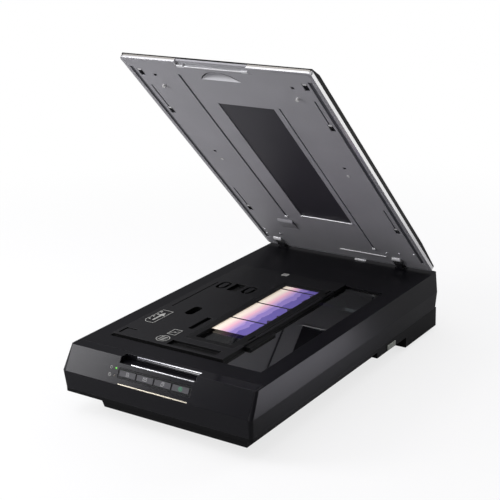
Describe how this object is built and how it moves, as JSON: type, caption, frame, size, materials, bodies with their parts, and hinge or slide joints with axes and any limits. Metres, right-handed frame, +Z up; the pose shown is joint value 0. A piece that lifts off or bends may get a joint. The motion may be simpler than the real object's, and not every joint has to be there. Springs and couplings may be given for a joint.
{
  "type": "photo scanner",
  "caption": "Flatbed photo scanner with a film lamp in its hinged lid, a film holder on the glass, and a belt-driven carriage inside; sloping front with a button row and a finger grip.",
  "frame": {"origin": "on the floor under the middle of the case", "axes": "+X to the right seen from the button side, +Y from the buttons to the hinge, +Z up"},
  "size_m": [0.28, 0.476, 0.4253],
  "materials": {
    "case_black": "satin",
    "grip_black": "gloss",
    "trim_silver": "bright silver",
    "panel_grey": "fine grain",
    "window_dark": "smooth",
    "clear_glass": "polished",
    "holder_black": "matte",
    "film": "smooth",
    "key_grey": "fine grain",
    "accent_cream": "satin",
    "light_green": "clear",
    "light_amber": "clear",
    "lock_pale": "satin",
    "steel": "ground",
    "bronze": "sintered",
    "rubber_black": "matte",
    "board_green": "solder mask",
    "gear_white": "moulded",
    "lamp_white": "diffuse",
    "mirror_face": "mirror",
    "socket_metal": "plated",
    "motor_metal": "satin"
  },
  "bodies": {
    "base": {"lower_case": "case_black", "upper_case": "case_black", "front_bezel": "case_black", "accent_strip": "accent_cream", "grip_cup": "case_black", "grip_ledge": "grip_black", "grip_trim": "trim_silver", "button_tray": "case_black", "panel_board": "board_green", "button_switches": "key_grey", "power_light": "light_green", "error_light": "light_amber", "platen_glass": "clear_glass", "calibration_strip": "gear_white", "case_screws": "steel", "rubber_feet": "rubber_black", "guide_shaft": "steel", "slide_rail": "steel", "timing_belt": "rubber_black", "motor_body": "motor_metal", "motor_bracket": "steel", "idler_bracket": "steel", "main_board": "board_green", "usb_socket": "socket_metal", "lid_lamp_socket": "holder_black", "power_inlet": "holder_black", "hinge_wells": "case_black"},
    "carriage": {"carriage_housing": "case_black", "carriage_bushes": "bronze", "glide_pad": "gear_white", "scan_lamp": "lamp_white", "fold_mirrors": "mirror_face", "sensor_board": "board_green", "lens_barrel": "window_dark", "belt_clamp": "holder_black"},
    "drive_gear": {"drive_pulley": "gear_white", "reduction_gear": "gear_white"},
    "idler": {"idler_pulley": "gear_white"},
    "rotor": {"motor_pinion": "gear_white"},
    "document_key": {"document_button": "key_grey"},
    "mail_key": {"mail_button": "key_grey"},
    "copy_key": {"copy_button": "key_grey"},
    "start_key": {"start_button": "key_grey"},
    "lock": {"transport_lock": "lock_pale"},
    "hinge_posts": {"left_hinge_post": "case_black", "right_hinge_post": "case_black", "hinge_pins": "steel"},
    "lid": {"hinge_arms": "steel", "lid_trim": "trim_silver", "lid_handle": "trim_silver", "lid_panel": "panel_grey", "lamp_window": "window_dark", "film_lamp": "lamp_white", "lid_bumpers": "lock_pale", "lid_cover": "case_black", "panel_hooks": "trim_silver"},
    "film_holder": {"film_holder_plate": "holder_black", "frame_pins": "steel", "film_strip": "film"},
    "film_cover": {"film_frame": "holder_black"}
  },
  "joints": [
    {"name": "hinge_lift", "type": "slide", "parent": "base", "child": "hinge_posts", "axis": [0, 0, 1], "range_m": [0, 0.018]},
    {"name": "lid_hinge", "type": "hinge", "parent": "hinge_posts", "child": "lid", "pos_m": [0, 0.2273, 0.0928], "axis": [-1, 0, 0], "range_deg": [-45.6, 30]},
    {"name": "carriage_slide", "type": "slide", "parent": "base", "child": "carriage", "axis": [0, -1, 0], "range_m": [0, 0.228]},
    {"name": "drive_spin", "type": "hinge", "parent": "base", "child": "drive_gear", "pos_m": [-0.012, -0.204, 0.034], "axis": [0, 0, 1], "range_deg": [0, 1680]},
    {"name": "idler_spin", "type": "hinge", "parent": "base", "child": "idler", "pos_m": [-0.012, 0.138, 0.034], "axis": [0, 0, 1], "range_deg": [0, 1680]},
    {"name": "pinion_spin", "type": "hinge", "parent": "base", "child": "rotor", "pos_m": [0.018, -0.204, 0.04], "axis": [0, 0, 1], "range_deg": [-6720, 0]},
    {"name": "document_press", "type": "slide", "parent": "base", "child": "document_key", "axis": [0, 0.8728, -0.4882], "range_m": [0, 0.0008], "stiffness_N_per_m": 900, "springref_m": -0.0004},
    {"name": "mail_press", "type": "slide", "parent": "base", "child": "mail_key", "axis": [0, 0.8728, -0.4882], "range_m": [0, 0.0008], "stiffness_N_per_m": 900, "springref_m": -0.0004},
    {"name": "copy_press", "type": "slide", "parent": "base", "child": "copy_key", "axis": [0, 0.8728, -0.4882], "range_m": [0, 0.0008], "stiffness_N_per_m": 900, "springref_m": -0.0004},
    {"name": "start_press", "type": "slide", "parent": "base", "child": "start_key", "axis": [0, 0.8728, -0.4882], "range_m": [0, 0.0008], "stiffness_N_per_m": 900, "springref_m": -0.0004},
    {"name": "lock_slide", "type": "slide", "parent": "base", "child": "lock", "axis": [0, 1, 0], "range_m": [0, 0.012]},
    {"name": "holder_lift", "type": "slide", "parent": "base", "child": "film_holder", "axis": [0, 0, 1], "range_m": [0, 0.05]},
    {"name": "frame_hinge", "type": "hinge", "parent": "film_holder", "child": "film_cover", "pos_m": [0.0534, -0.02, 0.0876], "axis": [0, 1, 0], "range_deg": [0, 110]}
  ],
  "couplings": [
    {"joint": "drive_spin", "follows": "carriage_slide", "rad_per_m": 128.21},
    {"joint": "idler_spin", "follows": "carriage_slide", "rad_per_m": 128.21},
    {"joint": "pinion_spin", "follows": "carriage_slide", "rad_per_m": -512.82}
  ]
}
